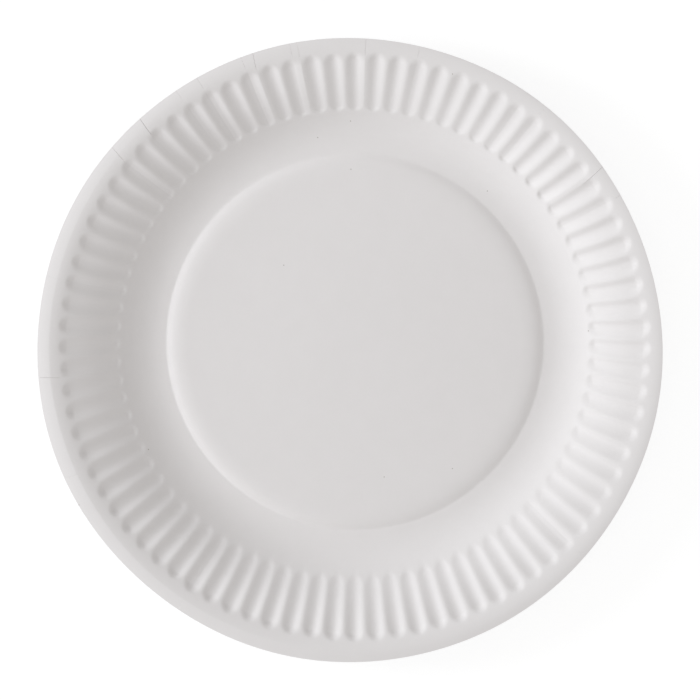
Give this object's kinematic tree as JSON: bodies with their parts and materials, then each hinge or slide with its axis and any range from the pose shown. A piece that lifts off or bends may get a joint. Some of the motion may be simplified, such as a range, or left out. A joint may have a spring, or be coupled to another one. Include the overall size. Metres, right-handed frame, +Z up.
{
  "type": "paper plate",
  "caption": "Round disposable paper plate with a raised centre, a flat standing ring, a fluted sloping wall and a turned-down rim.",
  "frame": {"origin": "on the table, under the centre of the plate", "axes": "+Z up along the plate's axis, out of the hollow; the plate is round, and +X runs along the middle of one flute"},
  "size_m": [0.23, 0.23, 0.0155],
  "materials": {
    "plate_board": "uncoated matt white paperboard"
  },
  "bodies": {
    "root": {"plate": "plate_board"}
  },
  "joints": []
}
